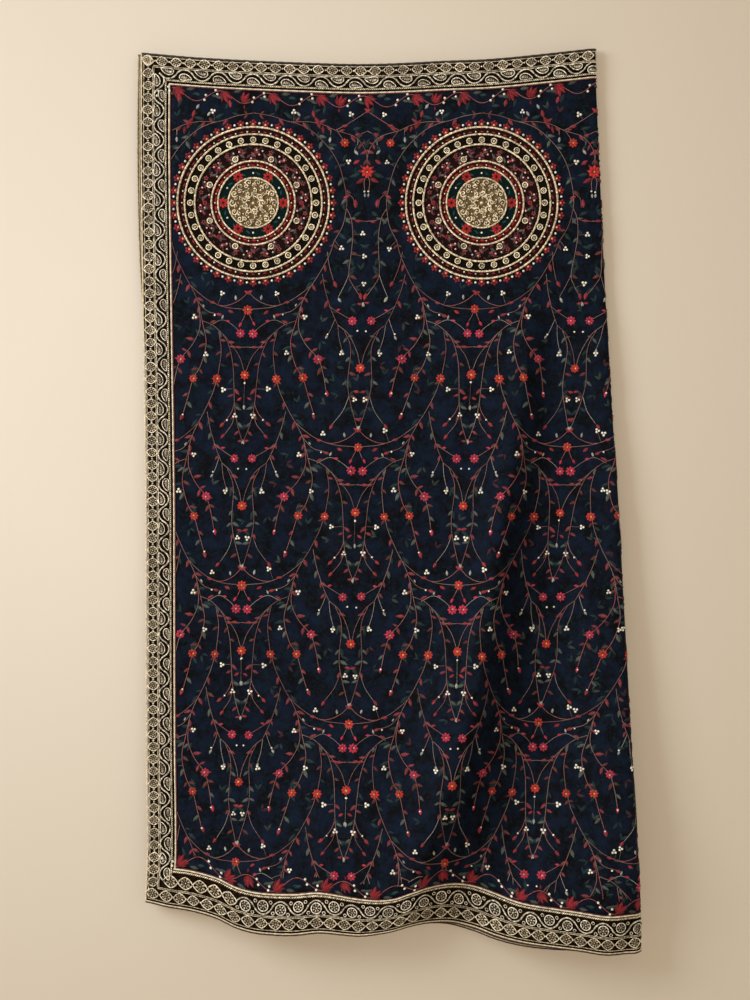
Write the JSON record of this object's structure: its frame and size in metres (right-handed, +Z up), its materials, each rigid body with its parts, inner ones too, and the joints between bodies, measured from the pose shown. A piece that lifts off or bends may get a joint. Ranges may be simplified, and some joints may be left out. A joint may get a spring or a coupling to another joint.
{
  "type": "embroidered dupatta hung folded",
  "caption": "Long embroidered shawl of south asian dress, folded into hanging leaves, with gold borders, round medallions and a gently waving hem.",
  "frame": {"origin": "on the wall, midway between the two hidden pins that hold the top corners", "axes": "+Z up along the hanging cloth, +Y back towards the wall, the front faces -Y and +X is to the right seen from the front"},
  "size_m": [0.6298, 0.0541, 1.13],
  "materials": {
    "field": "navy silk ground",
    "border": "black-brown ground under metal thread",
    "gold_cord": "pale gold wrapped cord",
    "dark_edge": "dark whipped edge",
    "zari": "antique gold metal thread",
    "silver_zari": "pale silver-gold metal thread",
    "stem_thread": "copper brown silk thread",
    "red_thread": "red silk satin stitch",
    "pink_thread": "crimson pink silk satin stitch",
    "green_thread": "grey green silk satin stitch",
    "pearl_bead": "small cream beads"
  },
  "bodies": {
    "root": {"field_front": "field", "field_back": "field", "hidden_leaves": "field", "border_left": "border", "border_top_front": "border", "border_top_back": "border", "border_hem_front": "border", "border_hem_back": "border", "piping_left": "gold_cord", "piping_top_front": "gold_cord", "piping_top_back": "gold_cord", "piping_hem_front": "gold_cord", "piping_hem_back": "gold_cord", "edge_cord_left": "gold_cord", "edge_cord_top_front": "dark_edge", "edge_cord_top_back": "dark_edge", "edge_cord_hem_front": "gold_cord", "edge_cord_hem_back": "gold_cord", "medallion_front_left": "zari", "medallion_front_right": "zari", "medallion_back_left": "zari", "medallion_back_right": "zari"}
  },
  "joints": []
}
